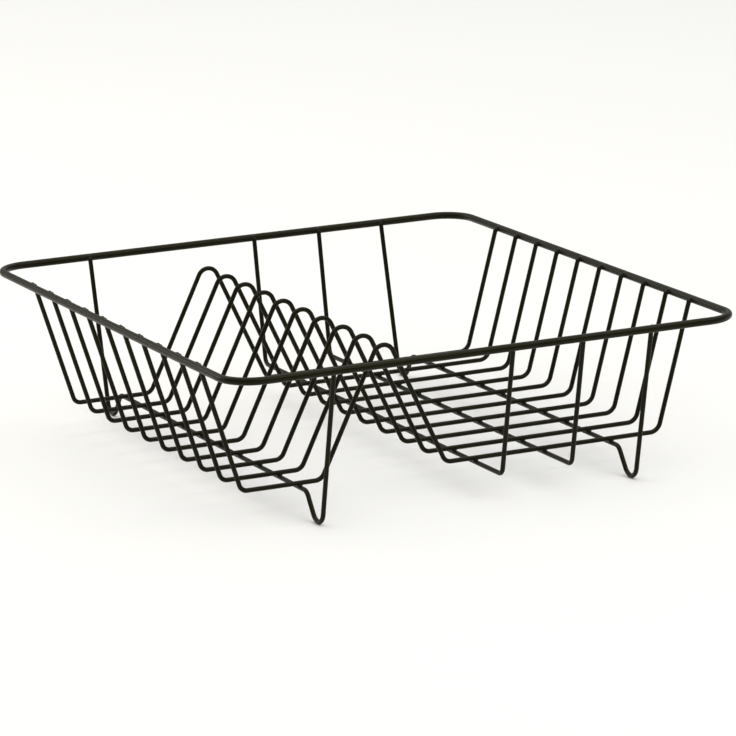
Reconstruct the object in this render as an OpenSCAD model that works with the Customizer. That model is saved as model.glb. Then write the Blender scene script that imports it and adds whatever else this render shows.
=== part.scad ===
// Dish drying rack of bent and welded coated wire, in millimetres.
// X runs across the plates, Y runs along the row of plates, Z is up.
// The origin is on the table, under the middle of the rim.

/* [Shown] */

// Which piece to draw

/* [Wire sizes] */

// Diameter of the rim wire with its coating
rim_wire_d = 4.6; // [3:0.1:7]

// Diameter of every other wire with its coating
wire_d = 2.8; // [2:0.1:4]

// How far two thin wires sink into each other where they are welded
weld_depth = 0.3; // [0.1:0.05:0.6]

// How far a wire end sinks into the side of the rim
rim_weld_depth = 0.5; // [0.3:0.05:1]

/* [Rim] */

// Rim size along X, between the wire's centre lines
rim_x = 324; // [260:1:420]

// Rim size along Y, between the wire's centre lines
rim_y = 368; // [280:1:480]

// Height of the rim's centre line above the table
rim_height = 96; // [80:1:140]

// Bend radius at the rim's corners, to the centre line
rim_corner_r = 20; // [12:1:40]

// How far the wire ends stand above the rim's centre line
end_rise = 0.8; // [0.5:0.1:5]

/* [Plate wires] */

// Distance from one plate wire to the next
plate_pitch = 28; // [20:0.1:40]

// Y position of the front plate wire
plate_first_y = -128.5; // [-180:1:-80]

// Height of the plate wires' floor, to the centre line
floor_height = 18.8; // [12:0.1:30]

// X of the bottom corner on the plate side
left_corner_x = -135; // [-200:0.5:-100]

// X of the valley on the left of the plate peak
left_valley_x = -84.5; // [-120:0.5:-70]

// X of the plate peak
peak_x = -42.7; // [-60:0.1:-30]

// Height where the peak's two slopes would meet
peak_height = 102.2; // [80:0.5:130]

// X of the valley on the right of the plate peak
right_valley_x = -4.8; // [-20:0.1:20]

// X of the bottom corner on the cup side
right_corner_x = 136.4; // [100:0.1:200]

// Bend radius at the bottom corner on the plate side
left_corner_r = 5; // [4:0.1:20]

// Bend radius at the left valley
left_valley_r = 6.2; // [5:0.1:20]

// Bend radius at the plate peak
peak_r = 6.7; // [4:0.1:15]

// Bend radius at the right valley
right_valley_r = 5.6; // [2.5:0.1:12]

// Bend radius at the bottom corner on the cup side
right_corner_r = 7; // [4:0.1:20]

/* [Cross wires] */

// X of the footed wire on the plate side
foot_left_x = -98.5; // [-130:0.5:-90]

// X of the plain wire next to the peak
cross_inner_x = 14.6; // [5:0.1:40]

// X of the plain wire in the middle of the cup floor
cross_outer_x = 60; // [45:0.1:90]

// X of the footed wire on the cup side
foot_right_x = 104.4; // [95:0.1:135]

// How far the front bottom corner of a plain wire is from the middle
cross_front_y = 163; // [120:0.1:200]

// How far the back bottom corner of a plain wire is from the middle
cross_back_y = 168.5; // [120:0.1:200]

// Bend radius at a plain wire's bottom corners
cross_corner_r = 5; // [4:0.1:20]

// Y of the middle of a foot's loop
foot_y = 152.8; // [120:0.1:200]

// Bend radius at the bottom of a foot, to the centre line
foot_r = 7.5; // [3:0.1:12]

// Y where a foot's inner leg meets the floor line
foot_inner_y = 138.4; // [100:0.1:180]

// Bend radius where a foot's inner leg meets the floor line
foot_inner_r = 6; // [3:0.1:15]

/* [Hidden] */

$fn = 64;

// The coating is a touch thicker round a bend, and straights run a little way into it.
bend_swell = 0.02;
bend_lap = 0.15;

// Wire ends sit against the inner side of the rim.
end_inset = (rim_wire_d + wire_d) / 2 - rim_weld_depth;
end_x = rim_x / 2 - end_inset;
end_y = rim_y / 2 - end_inset;
end_z = rim_height + end_rise;

// Cross wires pass right under the plate wires and are welded to them.
cross_height = floor_height - wire_d + weld_depth;

coat_black = [0.075, 0.073, 0.062];

// Direction from p that just touches the circle round c, on the side given by s
function touch(p, c, r, s) =
    let (v = c - p, t = heading(v) + s * asin(r / norm(v)))
    [cos(t), sin(t)];

// Where the line from p along u crosses the line from q along v
function meet(p, u, q, v) =
    p + u * ((q - p)[0] * v[1] - (q - p)[1] * v[0]) / (u[0] * v[1] - u[1] * v[0]);

// A foot's legs touch its loop and would cross here. The loop just reaches the table.
foot_middle = [foot_y, foot_r + wire_d / 2 + bend_swell];
foot_top = [end_y, end_z];
foot_inner = [foot_inner_y, cross_height];
foot_corner = meet(
    foot_top, touch(foot_top, foot_middle, foot_r, 1),
    foot_inner, touch(foot_inner, foot_middle, foot_r, -1)
);

function unit(v) = v / norm(v);
function heading(v) = atan2(v[1], v[0]);
function side(a, b) = a[0] * b[1] - a[1] * b[0] >= 0 ? 1 : -1;
function turn(a, b) = acos(min(1, max(-1, (a * b) / (norm(a) * norm(b)))));
function left_of(v) = [-v[1], v[0]];

// Length cut off each side of corner i by its bend
function cut(p, r, i) =
    (i == 0 || i == len(p) - 1) ? 0
    : r[i] * tan(turn(p[i] - p[i - 1], p[i + 1] - p[i]) / 2);

// A straight length of wire from a to b in the XY plane, with a rounded tip
// at either end if asked for
module straight(a, b, d, tip_a = false, tip_b = false) {
    h = norm(b - a);
    w = d / 2;
    start = tip_a ? [[0, 0], [w * 0.6, 0], [w * 0.9, w * 0.18], [w, w * 0.5]] : [[0, 0], [w, 0]];
    finish = tip_b ? [[w, h - w * 0.5], [w * 0.9, h - w * 0.18], [w * 0.6, h], [0, h]] : [[w, h], [0, h]];
    translate([a[0], a[1], 0])
        rotate([0, 0, heading(b - a)])
            rotate([0, 90, 0])
                rotate_extrude()
                    polygon(concat(start, finish));
}

// The bend at point q between directions a and b
module bend(q, a, b, r, d) {
    s = side(a, b);
    t = turn(a, b);
    c = q - unit(a) * r * tan(t / 2) + s * left_of(unit(a)) * r;
    first = s > 0 ? heading(-left_of(a)) : heading(left_of(b));
    translate([c[0], c[1], 0])
        rotate([0, 0, first])
            rotate_extrude(angle = t)
                translate([r, 0])
                    circle(d = d + 2 * bend_swell);
}

// A wire through the corners p, bent to the radii r, with a tip at each end
module bent_wire(p, r, d) {
    n = len(p);
    for (i = [0 : n - 2]) {
        v = unit(p[i + 1] - p[i]);
        a = p[i] + v * (i == 0 ? 0 : cut(p, r, i) - bend_lap);
        b = p[i + 1] - v * (i == n - 2 ? 0 : cut(p, r, i + 1) - bend_lap);
        straight(a, b, d, i == 0, i == n - 2);
    }
    for (i = [1 : n - 2])
        bend(p[i], p[i] - p[i - 1], p[i + 1] - p[i], r[i], d);
}

// Closed rim, a rounded rectangle of the thick wire
module top_rim() {
    hx = rim_x / 2;
    hy = rim_y / 2;
    p = [[-hx, -hy], [hx, -hy], [hx, hy], [-hx, hy]];
    color(coat_black)
        translate([0, 0, rim_height])
            for (i = [0 : 3]) {
                q = p[i];
                next = p[(i + 1) % 4];
                v = unit(next - q);
                lap = rim_corner_r - bend_lap;
                straight(q + v * lap, next - v * lap, rim_wire_d);
                bend(next, v, left_of(v), rim_corner_r, rim_wire_d);
            }
}

// One plate wire: plate valley, peak, valley, cup floor, and a side at each end
module plate_wire(i) {
    p = [
        [-end_x, end_z],
        [left_corner_x, floor_height],
        [left_valley_x, floor_height],
        [peak_x, peak_height],
        [right_valley_x, floor_height],
        [right_corner_x, floor_height],
        [end_x, end_z],
    ];
    r = [0, left_corner_r, left_valley_r, peak_r, right_valley_r, right_corner_r, 0];
    color(coat_black)
        translate([0, plate_first_y + i * plate_pitch, 0])
            rotate([90, 0, 0])
                bent_wire(p, r, wire_d);
}

// A plain cross wire, front rim to back rim under the cup floor
module cross_wire(x) {
    p = [
        [-end_y, end_z],
        [-cross_front_y, cross_height],
        [cross_back_y, cross_height],
        [end_y, end_z],
    ];
    r = [0, cross_corner_r, cross_corner_r, 0];
    color(coat_black)
        translate([x, 0, 0])
            rotate([90, 0, 90])
                bent_wire(p, r, wire_d);
}

// A cross wire whose ends dip below the floor into narrow feet
module foot_wire(x) {
    q = foot_corner;
    p = [
        [-end_y, end_z],
        [-q[0], q[1]],
        [-foot_inner_y, cross_height],
        [foot_inner_y, cross_height],
        [q[0], q[1]],
        [end_y, end_z],
    ];
    r = [0, foot_r, foot_inner_r, foot_inner_r, foot_r, 0];
    color(coat_black)
        translate([x, 0, 0])
            rotate([90, 0, 90])
                bent_wire(p, r, wire_d);
}

top_rim();
plate_wire(0);  // plate_wire_01
plate_wire(1);  // plate_wire_02
plate_wire(2);  // plate_wire_03
plate_wire(3);  // plate_wire_04
plate_wire(4);  // plate_wire_05
plate_wire(5);  // plate_wire_06
plate_wire(6);  // plate_wire_07
plate_wire(7);  // plate_wire_08
plate_wire(8);  // plate_wire_09
plate_wire(9);  // plate_wire_10
foot_wire(foot_left_x);  // foot_wire_left
cross_wire(cross_inner_x);  // cross_wire_inner
cross_wire(cross_outer_x);  // cross_wire_outer
foot_wire(foot_right_x);  // foot_wire_right
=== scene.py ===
"""Looks of a dish drying rack of black coated wire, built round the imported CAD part. Metres throughout.

Each of the 15 wires is a tube of rings along its bent path. Its coating swells into a fillet wherever
it is welded to another wire, and it takes the place of the CAD piece of the same name.
"""
import math

import bpy
import numpy as np
from mathutils import Matrix, Vector


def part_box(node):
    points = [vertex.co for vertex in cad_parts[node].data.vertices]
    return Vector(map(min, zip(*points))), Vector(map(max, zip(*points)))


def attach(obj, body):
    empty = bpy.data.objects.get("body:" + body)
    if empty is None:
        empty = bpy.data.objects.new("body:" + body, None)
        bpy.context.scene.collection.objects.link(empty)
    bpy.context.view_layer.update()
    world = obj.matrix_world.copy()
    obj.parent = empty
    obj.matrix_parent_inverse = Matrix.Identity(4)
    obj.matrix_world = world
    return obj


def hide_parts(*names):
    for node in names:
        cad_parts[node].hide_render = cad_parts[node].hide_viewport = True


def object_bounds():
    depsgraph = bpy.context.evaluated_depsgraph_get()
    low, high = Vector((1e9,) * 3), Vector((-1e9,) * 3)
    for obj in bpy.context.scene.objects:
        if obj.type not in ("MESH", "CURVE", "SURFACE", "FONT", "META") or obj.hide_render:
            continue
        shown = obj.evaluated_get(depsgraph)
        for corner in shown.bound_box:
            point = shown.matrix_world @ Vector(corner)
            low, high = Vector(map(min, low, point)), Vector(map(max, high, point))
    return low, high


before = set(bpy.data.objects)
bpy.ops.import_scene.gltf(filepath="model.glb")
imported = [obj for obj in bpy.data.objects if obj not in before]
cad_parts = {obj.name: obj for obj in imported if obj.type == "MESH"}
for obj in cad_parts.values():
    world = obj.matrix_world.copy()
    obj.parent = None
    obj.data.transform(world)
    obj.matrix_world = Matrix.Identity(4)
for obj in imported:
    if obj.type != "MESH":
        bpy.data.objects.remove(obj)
cad_lo, cad_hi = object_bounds()

MM = 0.001

# ---------------------------------------------------------------- camera
# A long lens from the front left, a little above the rim.
AZIMUTH = math.radians(-25.2)
ELEVATION = math.radians(13.1)
ROLL = math.radians(-1.53)
DISTANCE = 2.838
SENSOR = 36.0
LENS = 228.95
AIM_OFFSET = Vector((7.5 * MM, 0.1 * MM, -1.28 * MM))

aim = (cad_lo + cad_hi) / 2 + AIM_OFFSET
back = Vector((
    math.sin(AZIMUTH) * math.cos(ELEVATION),
    -math.cos(AZIMUTH) * math.cos(ELEVATION),
    math.sin(ELEVATION),
))
level = Vector((math.cos(AZIMUTH), math.sin(AZIMUTH), 0))
above = back.cross(level)
right = math.cos(ROLL) * level + math.sin(ROLL) * above
up = math.cos(ROLL) * above - math.sin(ROLL) * level
facing = Matrix((right, up, back)).transposed().to_4x4()

camera = bpy.data.objects.new("camera", bpy.data.cameras.new("camera"))
bpy.context.scene.collection.objects.link(camera)
camera.data.sensor_width = SENSOR
camera.data.lens = LENS
camera.data.clip_start = 0.05
camera.data.clip_end = 60
camera.matrix_world = Matrix.Translation(aim + back * DISTANCE) @ facing
bpy.context.scene.camera = camera

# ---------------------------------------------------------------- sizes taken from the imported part
PLATES = [f"plate_wire_{i:02d}" for i in range(1, 11)]
FOOTED = ["foot_wire_left", "foot_wire_right"]
PLAIN = ["cross_wire_inner", "cross_wire_outer"]
CROSSES = FOOTED + PLAIN


def middle(node):
    lo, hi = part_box(node)
    return (lo + hi) / 2


# Bends in the CAD are thicker than straights by SWELL in radius, and set the boxes' sides.
SWELL = 0.02 * MM
END_RISE = 0.8 * MM
RIM_WELD_DEPTH = 0.5 * MM

rim_lo, rim_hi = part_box("top_rim")
RIM_R = (rim_hi.z - rim_lo.z) / 2 - SWELL
RIM_X = (rim_hi.x - rim_lo.x) / 2 - RIM_R - SWELL
RIM_Y = (rim_hi.y - rim_lo.y) / 2 - RIM_R - SWELL
RIM_Z = middle("top_rim").z

plate_lo, plate_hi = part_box(PLATES[0])
WIRE_R = (plate_hi.y - plate_lo.y) / 2 - SWELL
FLOOR_Z = plate_lo.z + WIRE_R + SWELL
PLATE_Y = [middle(n).y for n in PLATES]

cross_lo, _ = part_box(PLAIN[0])
CROSS_Z = cross_lo.z + WIRE_R + SWELL
CROSS_X = {n: middle(n).x for n in CROSSES}

END_X = RIM_X - RIM_R - WIRE_R + RIM_WELD_DEPTH
END_Y = RIM_Y - RIM_R - WIRE_R + RIM_WELD_DEPTH
TOP_Z = RIM_Z + END_RISE

# ---------------------------------------------------------------- wire shapes, as in the CAD source
# The rim, in X and Y
RIM_CORNERS = [(-RIM_X, -RIM_Y), (RIM_X, -RIM_Y), (RIM_X, RIM_Y), (-RIM_X, RIM_Y)]
RIM_BENDS = [20 * MM] * 4

# A plate wire from its plate-side end to its cup-side end, in X and Z
PLATE_CORNERS = [
    (-END_X, TOP_Z),
    (-135 * MM, FLOOR_Z),
    (-84.5 * MM, FLOOR_Z),
    (-42.7 * MM, 102.2 * MM),
    (-4.8 * MM, FLOOR_Z),
    (136.4 * MM, FLOOR_Z),
    (END_X, TOP_Z),
]
PLATE_BENDS = [0, 5 * MM, 6.2 * MM, 6.7 * MM, 5.6 * MM, 7 * MM, 0]

# Cross wires, in Y and Z
PLAIN_CORNERS = [(-END_Y, TOP_Z), (-163 * MM, CROSS_Z), (168.5 * MM, CROSS_Z), (END_Y, TOP_Z)]
PLAIN_BENDS = [0, 5 * MM, 5 * MM, 0]
FOOT_Y = 152.8 * MM
FOOT_BEND = 7.5 * MM
FOOT_INNER_Y = 138.4 * MM
FOOT_INNER_BEND = 6 * MM


def vec(p):
    return np.array(p, float)


def unit(v):
    return v / np.linalg.norm(v)


def touching(p, c, r, side):
    """Direction from p that just touches the circle of radius r round c."""
    v = c - p
    a = math.atan2(v[1], v[0]) + side * math.asin(r / np.linalg.norm(v))
    return vec((math.cos(a), math.sin(a)))


def meet(p, u, q, v):
    """Where the line from p along u crosses the line from q along v."""
    return p + u * ((q - p)[0] * v[1] - (q - p)[1] * v[0]) / (u[0] * v[1] - u[1] * v[0])


def foot_corner():
    """Where the two legs of a foot would cross below its loop."""
    loop = vec((FOOT_Y, FOOT_BEND + WIRE_R + SWELL))
    top = vec((END_Y, TOP_Z))
    inner = vec((FOOT_INNER_Y, CROSS_Z))
    return meet(top, touching(top, loop, FOOT_BEND, 1), inner, touching(inner, loop, FOOT_BEND, -1))


foot_y, foot_z = foot_corner()
FOOT_CORNERS = [
    (-END_Y, TOP_Z),
    (-foot_y, foot_z),
    (-FOOT_INNER_Y, CROSS_Z),
    (FOOT_INNER_Y, CROSS_Z),
    (foot_y, foot_z),
    (END_Y, TOP_Z),
]
FOOT_BENDS = [0, FOOT_BEND, FOOT_INNER_BEND, FOOT_INNER_BEND, FOOT_BEND, 0]
CROSS_SHAPE = {
    **{n: (PLAIN_CORNERS, PLAIN_BENDS) for n in PLAIN},
    **{n: (FOOT_CORNERS, FOOT_BENDS) for n in FOOTED},
}

# ---------------------------------------------------------------- rings along a wire
# Points round a thin wire and round the rim
RING = 28
RIM_RING = 36
# Rings stand FINE apart within FINE_ZONE of a weld, then spread by GROWTH up to COARSE.
FINE = 0.28 * MM
FINE_ZONE = 2.5 * MM
GROWTH = 0.3
COARSE = 7 * MM
BEND_STEP = math.radians(5)
# A weld counts for a straight that passes this close to it.
WELD_NEAR = 6 * MM
# A domed tip's height as a share of the wire's radius, and the steps up to its top
DOME = 0.75
DOME_STEPS = 6


def steps(length, welds):
    """Distances along a straight, close together near a weld and far apart elsewhere."""
    at = [0.0]
    while at[-1] < length:
        gap = min(abs(at[-1] - w) for w in welds) if welds else COARSE
        at.append(at[-1] + min(COARSE, FINE + GROWTH * max(0.0, gap - FINE_ZONE)))
    if len(at) < 3:
        return [0.0, length / 2, length]
    return [a * length / at[-1] for a in at]


def stations(corners, bends, welds, closed=False):
    """Points and directions along a wire in its own plane, each corner rounded to its bend radius."""
    pts = [vec(p) for p in corners]
    n = len(pts)
    cut, arc = {}, {}
    for i in range(n) if closed else range(1, n - 1):
        a = unit(pts[i] - pts[i - 1])
        b = unit(pts[(i + 1) % n] - pts[i])
        turn = math.acos(max(-1, min(1, a @ b)))
        side = 1 if a[0] * b[1] - a[1] * b[0] >= 0 else -1
        cut[i] = bends[i] * math.tan(turn / 2)
        arc[i] = (a, turn, side)
    if not closed:
        cut[0] = cut[n - 1] = DOME * WIRE_R
    out = []
    for i in range(n if closed else n - 1):
        j = (i + 1) % n
        d = unit(pts[j] - pts[i])
        across = vec((-d[1], d[0]))
        start, end = pts[i] + d * cut[i], pts[j] - d * cut[j]
        offsets = [vec(w) - start for w in welds]
        near = [float(w @ d) for w in offsets if abs(w @ across) < WELD_NEAR]
        out += [(start + d * s, d) for s in steps(float(np.linalg.norm(end - start)), near)]
        if j in arc:
            a, turn, side = arc[j]
            left = vec((-a[1], a[0])) * side
            centre = end + left * bends[j]
            count = max(3, int(turn / BEND_STEP) + 1)
            for k in range(1, count):
                t = turn * k / count
                radial = -left * math.cos(t) + a * math.sin(t)
                out.append((centre + radial * bends[j], left * math.sin(t) + a * math.cos(t)))
    return out


def to_plane(kind, offset):
    """A map from a wire's own plane to the part's frame, and that plane's normal."""
    if kind == "plate":
        return (lambda p: np.array((p[0], offset, p[1]))), np.array((0, -1.0, 0))
    if kind == "cross":
        return (lambda p: np.array((offset, p[0], p[1]))), np.array((1.0, 0, 0))
    return (lambda p: np.array((p[0], p[1], offset))), np.array((0, 0, 1.0))


# ---------------------------------------------------------------- coating
# The coating swells by up to FILLET_MOST at a weld, where the two surfaces blend over FILLET_BLEND.
FILLET_MOST = 1.1 * MM
FILLET_BLEND = 1.3 * MM
# Rings further than this from a neighbour get no fillet to it.
FILLET_NEAR = 3 * MM
FILLET_TRIALS = 16
RIPPLE = 0.02 * MM
RIPPLE_WAVES = ((22 * MM, 0.5), (9 * MM, 0.3), (4 * MM, 0.2))
WAVES_EACH = 3
# Rubbed zones, up from the table and down from a wire's highest point
FOOT_WEAR = 1.2 * MM
TOP_WEAR = 1.0 * MM
TOP_WEAR_SHARE = 0.6


def capsule(points, a, b, r):
    """Distance of the points from a round-ended rod from a to b."""
    ab = b - a
    t = np.clip(((points - a) @ ab) / (ab @ ab), 0, 1)
    return np.linalg.norm(points - (a + t[..., None] * ab), axis=-1) - r


def outside_both(swell, points, a, b, other_r):
    """Distance outside the smooth union of a wire, swell away, and the rod from a to b."""
    other = capsule(points, a, b, other_r)
    h = np.maximum(FILLET_BLEND - np.abs(swell - other), 0) / FILLET_BLEND
    return np.minimum(swell, other) - h * h * FILLET_BLEND / 4


def coated_radius(hub, spoke, r, neighbours):
    """Radius of the coating along each spoke, filleted into every wire it is welded to."""
    grow = np.zeros(spoke.shape[:-1])
    trials = np.linspace(0, FILLET_MOST, FILLET_TRIALS)
    for a, b, other_r in neighbours:
        close = capsule(hub[:, 0], a, b, other_r) < r + FILLET_NEAR
        if not close.any():
            continue
        at, out = hub[close], spoke[close]
        before = outside_both(0, at + out * r, a, b, other_r)
        found = before >= 0
        best = np.where(found, 0.0, FILLET_MOST)
        # Out along each spoke to where it leaves the smooth union
        for t0, t1 in zip(trials, trials[1:]):
            after = outside_both(t1, at + out * (r + t1), a, b, other_r)
            crossing = (after >= 0) & (before < 0) & ~found
            share = -before / np.maximum(after - before, 1e-12)
            best = np.where(crossing, t0 + (t1 - t0) * share, best)
            found |= crossing
            before = after
        grow[close] = np.maximum(grow[close], best)
    return r + grow


def ripple(points, seed):
    """Slow unevenness of a dipped coating."""
    rng = np.random.default_rng(seed)
    total = np.zeros(points.shape[:-1])
    for wavelength, share in RIPPLE_WAVES:
        for _ in range(WAVES_EACH):
            w = unit(rng.normal(size=3)) * 2 * math.pi / wavelength
            total += share / WAVES_EACH * np.sin(points @ w + rng.uniform(0, 2 * math.pi))
    return total * RIPPLE


def tube_faces(count, ring, closed):
    """Quads between rings, and for an open tube a fan round each of two tips that follow the rings."""
    faces = []
    for i in range(count if closed else count - 1):
        j = (i + 1) % count
        for k in range(ring):
            m = (k + 1) % ring
            faces.append((i * ring + k, j * ring + k, j * ring + m, i * ring + m))
    if not closed:
        tip = count * ring
        end = (count - 1) * ring
        faces += [(tip, k, (k + 1) % ring) for k in range(ring)]
        faces += [(tip + 1, end + (k + 1) % ring, end + k) for k in range(ring)]
    return faces


def wire_mesh(name, line, kind, offset, r, neighbours, seed, ring, closed=False):
    """A coated wire along the stations of line, with a domed tip at each open end."""
    place, normal = to_plane(kind, offset)
    origin = place((0, 0))
    centres = np.array([place(p) for p, _ in line])
    along = np.array([place(d) - origin for _, d in line])
    side = np.cross(along, normal)
    angles = np.linspace(0, 2 * math.pi, ring, endpoint=False)
    spoke = side[:, None] * np.cos(angles)[None, :, None] + normal[None, None] * np.sin(angles)[None, :, None]
    hub = np.repeat(centres[:, None], ring, 1)
    radius = coated_radius(hub, spoke, r, neighbours)
    radius = radius + ripple(hub + spoke * r, seed)
    rings = list(hub + spoke * radius[..., None])
    tips = []
    if not closed:
        first, last = [], []
        for f in np.linspace(0, 1, DOME_STEPS + 1)[1:-1]:
            shrink = math.cos(f * math.pi / 2)
            push = math.sin(f * math.pi / 2) * DOME * r
            first.append(hub[0] + spoke[0] * radius[0][:, None] * shrink - along[0] * push)
            last.append(hub[-1] + spoke[-1] * radius[-1][:, None] * shrink + along[-1] * push)
        rings = first[::-1] + rings + last
        tips = [[centres[0] - along[0] * DOME * r, centres[-1] + along[-1] * DOME * r]]
    verts = np.concatenate(rings + tips)
    mesh = bpy.data.meshes.new(name)
    mesh.from_pydata(verts.tolist(), [], tube_faces(len(rings), ring, closed))
    height = verts[:, 2]
    foot_worn = np.clip(1 - height / FOOT_WEAR, 0, 1)
    top_worn = np.clip(1 - (height.max() - height) / TOP_WEAR, 0, 1)
    worn = np.clip(foot_worn + TOP_WEAR_SHARE * top_worn, 0, 1)
    mesh.attributes.new("worn", "FLOAT", "POINT").data.foreach_set("value", worn)
    mesh.validate()
    mesh.polygons.foreach_set("use_smooth", [True] * len(mesh.polygons))
    mesh.update()
    obj = bpy.data.objects.new(name, mesh)
    bpy.context.scene.collection.objects.link(obj)
    return obj


# ---------------------------------------------------------------- the 15 wires
# How much of a neighbour a fillet is worked out from: each way where it passes, or down from its end
SPAN = (np.array((15 * MM, 0, 0)), np.array((0, 15 * MM, 0)))
LEG = 20 * MM
PLATE_SEED, CROSS_SEED, RIM_SEED = 10, 40, 60
SAME_PLACE = 0.02 * MM


def passing(centre, axis, r):
    """A wire that passes through centre along X (axis 0) or Y (axis 1), as a neighbour."""
    return centre - SPAN[axis], centre + SPAN[axis], r


def leg(place, tip, after):
    """The last stretch of a wire by its welded end, as a neighbour of the rim."""
    return place(vec(tip)), place(vec(tip) + unit(vec(after) - vec(tip)) * LEG), WIRE_R


built = {}
rim_neighbours, rim_welds = [], []

for i, (name, y) in enumerate(zip(PLATES, PLATE_Y)):
    place, _ = to_plane("plate", y)
    near = [passing(np.array((x, y, CROSS_Z)), 1, WIRE_R) for x in CROSS_X.values()]
    near += [passing(np.array((x, y, RIM_Z)), 1, RIM_R) for x in (-RIM_X, RIM_X)]
    rim_neighbours.append(leg(place, PLATE_CORNERS[0], PLATE_CORNERS[1]))
    rim_neighbours.append(leg(place, PLATE_CORNERS[-1], PLATE_CORNERS[-2]))
    rim_welds += [(-RIM_X, y), (RIM_X, y)]
    welds = [(x, FLOOR_Z) for x in CROSS_X.values()] + [(-END_X, RIM_Z), (END_X, RIM_Z)]
    line = stations(PLATE_CORNERS, PLATE_BENDS, welds)
    built[name] = wire_mesh("coated_" + name, line, "plate", y, WIRE_R, near, PLATE_SEED + i, RING)

for i, (name, x) in enumerate(CROSS_X.items()):
    place, _ = to_plane("cross", x)
    corners, bends = CROSS_SHAPE[name]
    near = [passing(np.array((x, y, FLOOR_Z)), 0, WIRE_R) for y in PLATE_Y]
    near += [passing(np.array((x, y, RIM_Z)), 0, RIM_R) for y in (-RIM_Y, RIM_Y)]
    rim_neighbours.append(leg(place, corners[0], corners[1]))
    rim_neighbours.append(leg(place, corners[-1], corners[-2]))
    rim_welds += [(x, -RIM_Y), (x, RIM_Y)]
    welds = [(y, CROSS_Z) for y in PLATE_Y] + [(-END_Y, RIM_Z), (END_Y, RIM_Z)]
    line = stations(corners, bends, welds)
    built[name] = wire_mesh("coated_" + name, line, "cross", x, WIRE_R, near, CROSS_SEED + i, RING)

rim_line = stations(RIM_CORNERS, RIM_BENDS, rim_welds, closed=True)
# A ring that falls on the one before it, or on the first, is left out.
kept = [rim_line[0]]
for p, d in rim_line[1:]:
    if all(np.linalg.norm(p - other) > SAME_PLACE for other in (kept[-1][0], kept[0][0])):
        kept.append((p, d))
built["top_rim"] = wire_mesh(
    "coated_top_rim", kept, "rim", RIM_Z, RIM_R, rim_neighbours, RIM_SEED, RIM_RING, closed=True
)

for name, obj in built.items():
    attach(obj, "root")
    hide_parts(name)


# ---------------------------------------------------------------- materials
RUBBED = (0.03, 0.029, 0.026, 1)
WARM_GLOSS = (1.0, 0.95, 0.58, 1)


def node(tree, kind, at, **values):
    """A node of a material at a place in its graph, with inputs or settings given by name."""
    n = tree.nodes.new(kind)
    n.location = at
    for key, value in values.items():
        if key in n.inputs:
            n.inputs[key].default_value = value
        else:
            setattr(n, key, value)
    return n


def coated_black(name, dark, light, roughness, peel_scale):
    """Dipped black plastic coating: near-black, satin, with orange peel, fine grain and rub marks."""
    mat = bpy.data.materials.new(name)
    mat.use_nodes = True
    tree = mat.node_tree
    tree.nodes.clear()
    link = tree.links.new
    out = node(tree, "ShaderNodeOutputMaterial", (900, 0))
    shader = node(tree, "ShaderNodeBsdfPrincipled", (600, 0))
    shader.inputs["Specular IOR Level"].default_value = 0.15
    shader.inputs["Specular Tint"].default_value = WARM_GLOSS
    link(shader.outputs[0], out.inputs[0])

    where = node(tree, "ShaderNodeTexCoord", (-900, 0))
    cloud = node(tree, "ShaderNodeTexNoise", (-600, 300), Scale=45.0, Detail=3.0)
    grain = node(tree, "ShaderNodeTexNoise", (-600, 0), Scale=900.0, Detail=2.0)
    peel = node(tree, "ShaderNodeTexNoise", (-600, -300), Scale=peel_scale, Detail=1.0)
    rub = node(tree, "ShaderNodeTexVoronoi", (-600, -600), Scale=160.0, feature="DISTANCE_TO_EDGE")
    scuff = node(tree, "ShaderNodeTexNoise", (-600, 850), Scale=1500.0, Detail=4.0, Roughness=0.7)
    for texture in (cloud, grain, peel, rub, scuff):
        link(where.outputs["Object"], texture.inputs["Vector"])

    # Colour: clouded black, paler where the coating is rubbed
    ramp = node(tree, "ShaderNodeValToRGB", (-300, 300))
    low, high = ramp.color_ramp.elements
    low.position, low.color = 0.35, (*dark, 1)
    high.position, high.color = 0.7, (*light, 1)
    link(cloud.outputs["Fac"], ramp.inputs["Fac"])
    worn = node(tree, "ShaderNodeAttribute", (-600, 600), attribute_name="worn")
    patchy = node(tree, "ShaderNodeMath", (-300, 700), operation="MULTIPLY")
    link(worn.outputs["Fac"], patchy.inputs[0])
    link(scuff.outputs["Fac"], patchy.inputs[1])
    mix = node(tree, "ShaderNodeMix", (100, 400), data_type="RGBA")
    link(patchy.outputs[0], mix.inputs["Factor"])
    link(ramp.outputs["Color"], mix.inputs["A"])
    mix.inputs["B"].default_value = RUBBED
    link(mix.outputs["Result"], shader.inputs["Base Color"])

    # Satin that varies with the grain
    rough = node(tree, "ShaderNodeMapRange", (-300, 0))
    rough.inputs["To Min"].default_value = roughness - 0.06
    rough.inputs["To Max"].default_value = roughness + 0.08
    link(grain.outputs["Fac"], rough.inputs["Value"])
    link(rough.outputs["Result"], shader.inputs["Roughness"])

    # Orange peel, then fine rub marks on it
    first = node(tree, "ShaderNodeBump", (0, -300), Strength=0.6, Distance=0.08 * MM)
    link(peel.outputs["Fac"], first.inputs["Height"])
    second = node(tree, "ShaderNodeBump", (250, -300), Strength=0.15, Distance=0.03 * MM)
    link(rub.outputs["Distance"], second.inputs["Height"])
    link(first.outputs["Normal"], second.inputs["Normal"])
    link(second.outputs["Normal"], shader.inputs["Normal"])
    return mat


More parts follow.
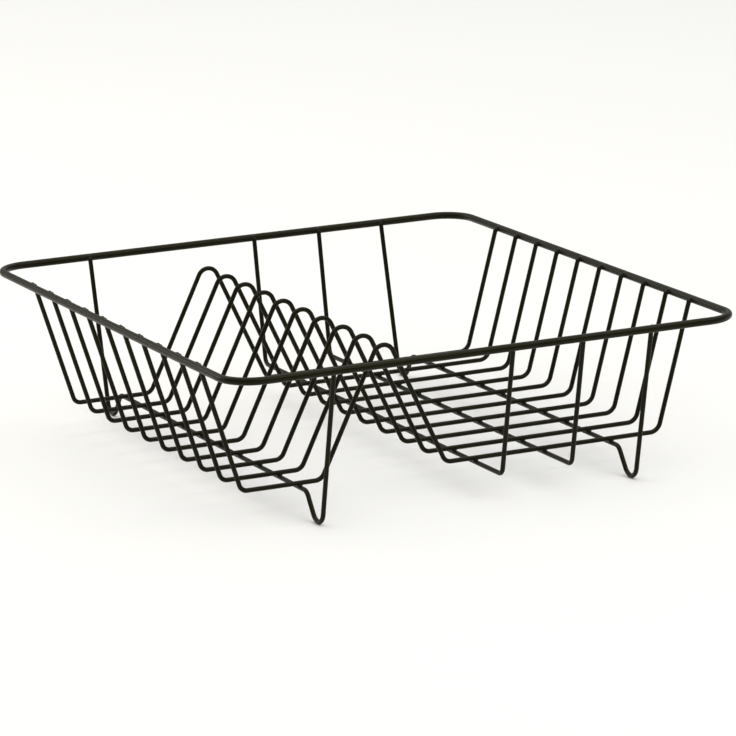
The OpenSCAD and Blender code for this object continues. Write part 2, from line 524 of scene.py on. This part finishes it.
rim_coat = coated_black("rim_coating", (0.0036, 0.0034, 0.0017), (0.0062, 0.0058, 0.0032), 0.33, 420.0)
thin_coat = coated_black("wire_coating", (0.0032, 0.0031, 0.0014), (0.0056, 0.0053, 0.0028), 0.36, 520.0)
for name, obj in built.items():
    obj.data.materials.append(rim_coat if name == "top_rim" else thin_coat)

# ---------------------------------------------------------------- floor and light
FLOOR_HALF = 12.0
FLOOR_FACE = [(-1, -1), (1, -1), (1, 1), (-1, 1)]

pale = bpy.data.materials.new("pale_floor")
pale.use_nodes = True
pale_shader = pale.node_tree.nodes["Principled BSDF"]
pale_shader.inputs["Base Color"].default_value = (0.92, 0.92, 0.91, 1)
pale_shader.inputs["Roughness"].default_value = 0.9
pale_shader.inputs["Specular IOR Level"].default_value = 0.1

floor_mesh = bpy.data.meshes.new("floor")
floor_verts = [(x * FLOOR_HALF, y * FLOOR_HALF, cad_lo.z) for x, y in FLOOR_FACE]
floor_mesh.from_pydata(floor_verts, [], [(0, 1, 2, 3)])
floor_mesh.materials.append(pale)
floor = bpy.data.objects.new("floor", floor_mesh)
bpy.context.scene.collection.objects.link(floor)

world = bpy.data.worlds.new("studio")
world.use_nodes = True
sky = world.node_tree.nodes["Background"]
sky.inputs["Color"].default_value = (1.0, 1.0, 0.98, 1)
sky.inputs["Strength"].default_value = 0.4
bpy.context.scene.world = world


def softbox(name, at, to, size, power, colour=(1, 1, 1)):
    """A rectangular light of size (width, height) at one point, turned towards another."""
    light = bpy.data.lights.new(name, "AREA")
    light.shape = "RECTANGLE"
    light.size, light.size_y = size
    light.energy = power
    light.color = colour
    obj = bpy.data.objects.new(name, light)
    obj.location = at
    obj.rotation_mode = "QUATERNION"
    obj.rotation_quaternion = (Vector(to) - Vector(at)).to_track_quat("-Z", "Y")
    bpy.context.scene.collection.objects.link(obj)


softbox("overhead", (0.1, 0.9, 3.0), (0.1, 0.9, 0), (7, 7), 138)
softbox("left_strip", (-1.5, 1.5, 0.9), (-0.1, 0, 0.06), (1.6, 0.5), 11, (1.0, 0.94, 0.74))
softbox("front_strip", (0.6, -1.7, 1.7), (0, 0, 0.06), (1.6, 0.35), 11, (1.0, 0.97, 0.9))

bpy.context.scene.view_settings.view_transform = "Standard"
bpy.context.scene.view_settings.look = "None"
